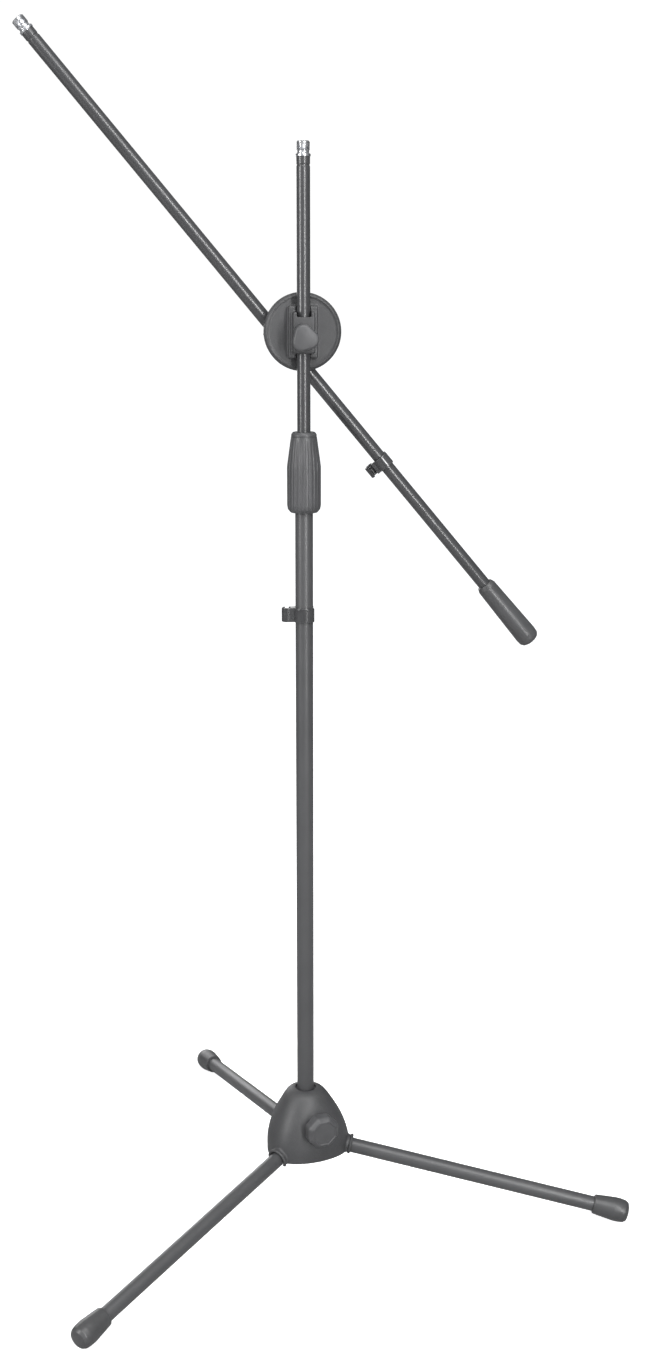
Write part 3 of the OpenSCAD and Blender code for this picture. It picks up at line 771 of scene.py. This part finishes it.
def makeHub():
    h = hub
    bottom, top = h["levels"][0][0], h["levels"][-1][0]
    slot, post = h["slot"], h["postRadius"]
    body = hubBell("hubShell", 0, bottom, top)
    hollow = hubBell("hubHollow", h["wall"], bottom - 3, top - h["wall"])
    combine(body, [hollow], "DIFFERENCE")
    added = [rod("hubPost", post, h["postBottom"], top - 1),
             rod("hubBoss", h["bossRadius"], post - 2, h["bossEnd"], hubKnobPlace)]
    for name, place in legPlaces.items():
        flat = Matrix.Rotation(math.atan2(place.translation.y, place.translation.x), 4, "Z")
        added.append(block(f"cheek_{name}", (post - 3, -h["cheekHalf"], bottom),
                           (post + h["cheekReach"], h["cheekHalf"], h["cheekTop"]), flat))
        arch = legArch(f"hood_{name}", h["hood"], h["hoodStart"], h["hoodEnd"], place, h["hoodDepth"])
        below = block("belowHub", (-200, -200, bottom - 60), (200, 200, bottom))
        added.append(combine(arch, [below], "DIFFERENCE"))
    combine(body, added, "UNION")
    slots = [legArch(f"slot_{name}", slot, h["slotBack"], h["slotEnd"], place, h["slotDepth"])
             for name, place in legPlaces.items()]
    slots += [block(f"foldRoom_{name}", (-slot, -slot, h["slotBack"]), (slot, slot, h["foldRoom"]), place)
              for name, place in legPlaces.items()]
    combine(body, slots, "DIFFERENCE")
    castSmooth(body, h["voxel"], 3)
    cuts = [rod("tubeHole", h["tubeHole"], bottom - 5, h["linerBottom"] + 1, segments=96),
            rod("linerHole", h["linerRadius"], h["linerBottom"], top + 5, segments=96),
            rod("screwHole", h["screwHole"], 0, h["nutIn"] + 1, hubKnobPlace),
            rod("nutHole", h["nutRadius"], h["nutIn"], h["bossEnd"] + 10, hubKnobPlace)]
    for name, place in legPlaces.items():
        cuts.append(rod(f"pinHole_{name}", h["pinRadius"], -h["pinHalf"], h["pinHalf"],
                        place @ Matrix.Rotation(math.pi / 2, 4, "X")))
    combine(body, cuts, "DIFFERENCE")
    body.name = "hubCasting"
    smooth(body, 50)
    hand(body, "hub_housing")


def makeHoodLip(name, place):
    # rolled lip round the mouth of a leg's hood
    build = bmesh.new()
    points = halfRound(hub["hood"] - hub["lipInset"], 32, 5)
    verts = [build.verts.new((y * mm, x * mm, 0)) for x, y in points]
    for first, second in zip(verts, verts[1:]):
        build.edges.new((first, second))
    lip = meshObject(f"hoodLip_{name}", build, sizeUnit=1)
    mouth = Matrix.Translation((0, 0, (hub["hoodEnd"] - hub["lipBack"]) * mm))
    runTree(lip, beadTree, {"Radius": hub["lip"] * mm, "Material": finishes["castEnamel"]}, place @ mouth, 60)
    hand(lip, "hub_housing", stands=False)


makeHub()
for legName, place in legPlaces.items():
    makeHoodLip(legName, place)
print("hub made")


# Hub knob. A front level is its depth behind the face, its inset and the share of the radius left.

hubKnob = {"back": 46.5, "faceStart": 50, "front": 67, "corners": 8, "reach": 21.6, "lobe": 5.5, "stem": 12,
           "screw": 4, "screwEnd": 60,
           "frontLevels": [(5.4, 0, 1), (4.6, 0.25, 1), (3.9, 0.8, 1), (1.1, 3.2, 1), (0.4, 3.9, 1),
                           (0, 4.8, 1), (0, 5.6, 1), (0.2, 5.9, 1), (0.9, 6.3, 1), (0.9, 7.1, 1),
                           (0.75, 7.6, 0.4)]}


def makeHubKnob():
    knob = hubKnob
    back, faceStart = knob["back"], knob["faceStart"]

    def radiusAt(theta, z):
        if z < faceStart:
            return knob["stem"]
        return cornerRadius(theta + math.pi / knob["corners"], knob["corners"], knob["reach"], knob["lobe"])

    levels = [(back, 0.8, 1), (back + 0.8, 0, 1), (faceStart - 0.01, 0, 1),
              (faceStart, 1.2, 1), (faceStart + 0.5, 0.35, 1), (faceStart + 1.3, 0, 1)]
    levels += [(knob["front"] - depth, inset, share) for depth, inset, share in knob["frontLevels"]]
    body = polarLoft("hubKnobBody", radiusAt, levels, hubKnobPlace, segments=128, smoothAngle=30)
    hole = rod("knobHole", knob["screw"], back - 1, knob["screwEnd"], hubKnobPlace)
    combine(body, [hole], "DIFFERENCE")
    smooth(body, 30)
    hand(body, "hub_knob")


makeHubKnob()


# Legs and feet.

# a foot's profile point is a radius, a distance from the foot's mouth and a corner radius
legs = {"tubeStart": 16, "tubeInFoot": 14, "footLength": 46,
        "footProfile": [(11.6, 0, 0.6), (12.3, 1, 0.4), (13.6, 13, 6), (15, 27, 6), (14.9, 34, 4),
                        (14, 40.5, 3), (11.6, 44.2, 2), (7, 45.6, 2)]}


def makeLeg(name):
    place = legPlaces[name]
    radius = tubes["legRadius"]
    down = (place.to_3x3() @ Vector((0, 0, 1))).z
    tubeEnd = leaningLength(f"leg_tube_{name}", down, radius) + legs["tubeStart"]
    length = tubeEnd + legs["tubeInFoot"]
    tube = plainTube(f"legTube_{name}", radius, tubes["legBore"], legs["tubeStart"], tubeEnd, place)
    hand(tube, f"leg_tube_{name}")
    start = length - legs["footLength"]
    outline = [(radius, start)]
    outline += [(across, start + along, corner) for across, along, corner in legs["footProfile"]]
    outline += [(0, length), (0, tubeEnd), (radius, tubeEnd)]
    foot = lathe(f"foot_{name}Rubber", outline, place, smoothAngle=40)
    # the foot is cut flat where it stands
    floorCut = block("floorCut", (-600, -600, -40), (600, 600, 0))
    combine(foot, [floorCut], "DIFFERENCE")
    smooth(foot, 40)
    hand(foot, f"foot_{name}")


for legName in legNames:
    makeLeg(legName)
print("legs made")


# Height clutch.

# a flute's path point is its inset at a height, measured from the grip's bottom
clutch = {"bottom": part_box("clutch_grip")[0].z / mm, "top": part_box("clutch_cap")[1].z / mm, "radius": 20.4,
          "topRadius": 15.6, "capRadius": 15.3, "capLength": 5.7, "shoulder": 55, "tubeHole": 11.1,
          "entry": 12.4, "baseRadius": 16.4, "collarRadius": 14.9, "collarBottom": 929, "collarTop": 967,
          "coneRadius": 12.7, "slimHole": 8.3, "flutes": 24, "fluteRound": 2.6, "fluteDepth": 0.5,
          "flutePath": [(-4, 6.4), (4, 0.7), (9, 0), (47, 0), (57, 0.55)], "fluteTopRise": 1.1}


def fluteCutter(capBottom):
    # round bar that follows the grip's side, a little less deep towards the top
    c = clutch
    taper = c["radius"] - c["topRadius"]
    path = [(c["bottom"] + height, -inset) for height, inset in c["flutePath"]]
    path += [(capBottom - 6, c["fluteTopRise"] - taper), (capBottom + 2, c["fluteTopRise"] - 0.2 - taper)]
    across, sides = c["fluteRound"], 40
    build = bmesh.new()
    rings = []
    for z, shift in path:
        centre = c["radius"] + across - c["fluteDepth"] + shift
        rings.append([build.verts.new((centre + across * math.cos(turn * i / sides),
                                       across * math.sin(turn * i / sides), z)) for i in range(sides)])
    for lower, upper in zip(rings, rings[1:]):
        joinRings(build, lower, upper)
    build.faces.new(rings[0])
    build.faces.new(rings[-1])
    bmesh.ops.recalc_face_normals(build, faces=build.faces)
    return meshObject("fluteCutters", build)


def makeClutch():
    c = clutch
    bottom, top, radius = c["bottom"], c["top"], c["radius"]
    capBottom = top - c["capLength"]
    grip = lathe("twistGrip", [
        (c["tubeHole"], bottom + 1.5), (c["entry"], bottom, 0.6), (c["baseRadius"], bottom, 0.8),
        (radius - 0.8, bottom + 4, 1.6), (radius, bottom + 9, 3), (radius, bottom + c["shoulder"], 14),
        (c["topRadius"], capBottom, 0.4), (c["coneRadius"], capBottom), (c["coneRadius"], c["collarTop"]),
        (c["collarRadius"], c["collarTop"]), (c["collarRadius"], c["collarBottom"]),
        (c["tubeHole"], c["collarBottom"] - 2)], segments=144)
    flutes = fluteCutter(capBottom)
    runTree(flutes, turnedCopiesTree, {"Copies": c["flutes"], "Material": finishes["gripPlastic"]})
    combine(grip, [flutes], "DIFFERENCE")
    smooth(grip, 40)
    hand(grip, "clutch_grip")
    cap = lathe("gripCap", [
        (c["slimHole"], capBottom), (c["capRadius"], capBottom, 0.4), (c["capRadius"], top - 2.6, 1.2),
        (c["capRadius"] - 2, top, 1), (c["slimHole"], top, 0.4)])
    hand(cap, "clutch_cap")


makeClutch()
print("clutch made")


# Cable clips.

clips = {"wall": 3.5, "loopRadius": 6.6, "hole": 4.3, "mouth": 4.6, "web": 12.4, "opening": 1.44, "gap": 0.05,
         "edge": 0.8, "voxel": 0.32, "lowerLength": 17.5, "lowerLoopReach": 21.1, "boomLength": 15,
         "boomLoopReach": 16.4, "boomMiddle": 184}


def makeClip(name, node, bore, length, loopReach, place):
    # ring axis on Z from zero, cable loop towards -X, the loop's mouth towards +Y
    c = clips
    ring = bore + c["wall"]
    loopPlace = Matrix.Translation((-loopReach * mm, 0, 0))
    body = lathe(name, [(bore - 1, 0), (ring, 0, c["edge"]), (ring, length, c["edge"]), (bore - 1, length)])
    loop = lathe("clipLoop", [(0, 0), (c["loopRadius"], 0, 0.9), (c["loopRadius"], length, 0.9), (0, length)],
                 loopPlace, segments=64, closed=False)
    web = block("clipWeb", (-loopReach, -c["web"] / 2, 0), (-bore, c["web"] / 2, length), edge=0.6)
    combine(body, [loop, web], "UNION")
    wide = (bore + c["gap"]) * c["opening"] / 2
    halfMouth = c["mouth"] / 2
    # every cut runs past both ends
    start, end = -1, length + 1
    cuts = [rod("clipBore", bore, start, end, segments=96),
            rod("clipHole", c["hole"], start, end, loopPlace),
            block("clipMouth", (-loopReach - halfMouth, 0, start), (-loopReach + halfMouth, 20, end)),
            block("clipOpening", (0, -wide, start), (2 * ring, wide, end))]
    combine(body, cuts, "DIFFERENCE")
    castSmooth(body, c["voxel"], 3)
    combine(body, [rod("clipBoreAgain", bore + c["gap"], start, end, segments=96)], "DIFFERENCE")
    body.data.transform(place)
    smooth(body, 50)
    hand(body, node)


lowerClipPlace = Matrix.Translation((0, 0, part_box("lower_clip")[0].z))
makeClip("lowerCableClip", "lower_clip", tubes["lowerRadius"], clips["lowerLength"], clips["lowerLoopReach"],
         lowerClipPlace)
boomClipStart = clips["boomMiddle"] - clips["boomLength"] / 2
boomClipPlace = boomPlace @ Matrix.Translation((0, 0, boomClipStart * mm))
makeClip("boomCableClip", "boom_clip", tubes["slimRadius"], clips["boomLength"], clips["boomLoopReach"],
         boomClipPlace)
print("clips made")


# Tilt clamp.

clamp = {"disc": 46, "discFront": 12, "discBack": 24, "bevel": 3, "dish": 0.7, "dishRadius": 40.5,
         "bossWide": 35, "bossHigh": 61, "bossFront": 4, "sleeveWide": 26, "sleeveHigh": 48,
         "sleeveFront": -13, "gapWide": 17, "gapHigh": 6, "linerRadius": 9.95, "nut": 6.5, "nutLength": 5,
         "nutWall": 3, "nutRise": 2, "screwHole": 4.3, "screwDeep": 33, "bolt": 4, "boltHead": 8,
         "voxel": 0.75}
discZ = joints["boom_tilt"]["pos_m"][2] / mm


def makeClampBody():
    c = clamp
    disc, face, back = c["disc"], c["discFront"], c["discBack"]
    inner = face + c["dish"]
    body = lathe("clampBody", [
        (0, inner), (c["dishRadius"], inner, 0.5), (c["dishRadius"] + 1.2, face, 0.5),
        (disc - c["bevel"], face, 0.8), (disc, face + c["bevel"], 0.8),
        (disc, back, 0.4), (0, back)], tiltPlace, segments=144, closed=False)
    halfBoss, halfSleeve, halfGap = c["bossWide"] / 2, c["sleeveWide"] / 2, c["gapWide"] / 2
    bossHalfHigh = c["bossHigh"] / 2
    sleeveTop, sleeveBottom = discZ + c["sleeveHigh"] / 2, discZ - c["sleeveHigh"] / 2
    front = c["sleeveFront"]
    boss = block("clampBoss", (-halfBoss, c["bossFront"], discZ - bossHalfHigh),
                 (halfBoss, face + 1, discZ + bossHalfHigh), edge=2.0)
    sleeve = block("clampSleeve", (-halfSleeve, front, sleeveBottom),
                   (halfSleeve, c["bossFront"] + 2, sleeveTop), edge=2.2)
    # along the front knob's axis, heights run towards the front
    nutEnd = c["nutRise"] - front
    nutBoss = rod("nutBoss", c["nut"] + c["nutWall"], nutEnd - 8, nutEnd, clampKnobPlace)
    combine(body, [boss, sleeve, nutBoss], "UNION")
    gap = block("clampGap", (-halfGap, front - 3, sleeveTop - c["gapHigh"]), (halfGap, 0, sleeveTop + 4))
    combine(body, [gap], "DIFFERENCE")
    castSmooth(body, c["voxel"], 3)
    cuts = [rod("sleeveBore", c["linerRadius"], discZ - c["bossHigh"], discZ + c["bossHigh"], segments=96),
            rod("screwBore", c["screwHole"], -1, c["screwDeep"], clampKnobPlace),
            rod("nutBore", c["nut"], nutEnd - c["nutLength"], nutEnd + 5, clampKnobPlace),
            rod("boltBore", c["bolt"], 0, back + 2, tiltPlace),
            rod("headBore", c["boltHead"], 0, face + 2, tiltPlace, segments=6)]
    combine(body, cuts, "DIFFERENCE")
    smooth(body, 50)
    hand(body, "clamp_body")


# an edge level is its depth behind the face and its inset
lobedEdge = [(3.6, 0), (2.6, 0.25), (1.8, 0.9), (1.25, 1.8), (0.95, 2.9)]
clampKnob = {"back": 16.5, "front": 33, "reach": 16.3, "lobe": 10.6, "dome": 0.9, "turn": 14.2, "screw": 4,
             "screwEnd": 28}
tiltKnob = {"back": 54.7, "front": 76, "reach": 19, "lobe": 8, "dome": 1.2, "screw": 4.3, "screwEnd": 74,
            "nut": 6.5, "nutEnd": 62.7}


def lobedKnob(name, knob, place):
    # three-lobed knob with a slightly domed face towards +Z
    back, front = knob["back"], knob["front"]

    def radiusAt(theta, z):
        return cornerRadius(theta, 3, knob["reach"], knob["lobe"])

    levels = [(back, 1.6, 1), (back + 0.4, 0.7, 1), (back + 1.2, 0, 1)]
    levels += [(front - depth, inset, 1) for depth, inset in lobedEdge]
    levels += [(front - knob["dome"] * share ** 2, 3.2, share) for share in (0.85, 0.6, 0.35, 0.1)]
    return polarLoft(name, radiusAt, levels, place, segments=144)


def makeClampKnob():
    knob = clampKnob
    place = clampKnobPlace @ Matrix.Rotation(math.radians(-knob["turn"]), 4, "Z")
    body = lobedKnob("clampKnobBody", knob, place)
    combine(body, [rod("clampKnobHole", knob["screw"], 0, knob["screwEnd"], clampKnobPlace)], "DIFFERENCE")
    smooth(body, 35)
    hand(body, "clamp_knob")


def makeTiltKnob():
    knob = tiltKnob
    body = lobedKnob("tiltKnobBody", knob, tiltPlace)
    cuts = [rod("tiltKnobHole", knob["screw"], 0, knob["screwEnd"], tiltPlace),
            rod("tiltNutHole", knob["nut"], 0, knob["nutEnd"], tiltPlace, segments=6)]
    combine(body, cuts, "DIFFERENCE")
    smooth(body, 35)
    hand(body, "tilt_knob")


holder = {"front": 25.2, "back": 32, "barrel": 14, "barrelLength": 54, "linerRadius": 10.05, "pillar": 9.2,
          "pillarFoot": 2.5, "pillarBack": 53, "bevel": 3, "bolt": 4.05, "cutReach": 60, "voxel": 0.8}


def makeHolder():
    h = holder
    body = lathe("boomHolder", [
        (0, h["front"]), (discRadius, h["front"], 0.3), (discRadius, h["back"] - h["bevel"], 0.8),
        (discRadius - h["bevel"], h["back"], 1.5), (0, h["back"])], tiltPlace, segments=144, closed=False)
    half = h["barrelLength"] / 2
    barrel = lathe("barrel", [(0, -half), (h["barrel"], -half, 1.6), (h["barrel"], half, 1.6), (0, half)],
                   boomPlace, segments=96, closed=False)
    pillar = lathe("pillar", [(0, h["back"] - 1), (h["pillar"] + h["pillarFoot"], h["back"] - 1),
                              (h["pillar"], h["back"] + 3),
                              (h["pillar"], h["pillarBack"], 0.8), (0, h["pillarBack"])],
                   tiltPlace, closed=False)
    combine(body, [barrel, pillar], "UNION")
    castSmooth(body, h["voxel"], 4)
    reach = h["cutReach"]
    cuts = [rod("frontCut", reach, 0, h["front"], tiltPlace),
            rod("barrelBore", h["linerRadius"], -reach, reach, boomPlace, segments=96),
            rod("holderBolt", h["bolt"], 10, h["pillarBack"] + 5, tiltPlace)]
    combine(body, cuts, "DIFFERENCE")
    smooth(body, 50)
    hand(body, "boom_holder")


makeClampBody()
makeClampKnob()
makeHolder()
makeTiltKnob()
print("tilt clamp made")


# Boom handle.

# a profile point is a radius, a distance back from the handle's end and a corner radius
handle = {"start": 385, "end": 480, "entry": 10, "startRadius": 12, "tubeEnd": 463,
          "endProfile": [(14, 12, 6), (13.4, 5, 3), (11, 1.4, 2), (8, 0, 2), (0, 0)]}


def makeHandle():
    h = handle
    slim, start, end = tubes["slimRadius"], h["start"], h["end"]
    outline = [(slim, start), (h["entry"], start, 0.6), (h["startRadius"], start + 5, 3)]
    outline += [(radius, end - back, *corner) for radius, back, *corner in h["endProfile"]]
    outline += [(0, h["tubeEnd"]), (slim, h["tubeEnd"])]
    hand(lathe("boomHandle", outline, boomPlace), "boom_handle")


makeHandle()
print("handle made")
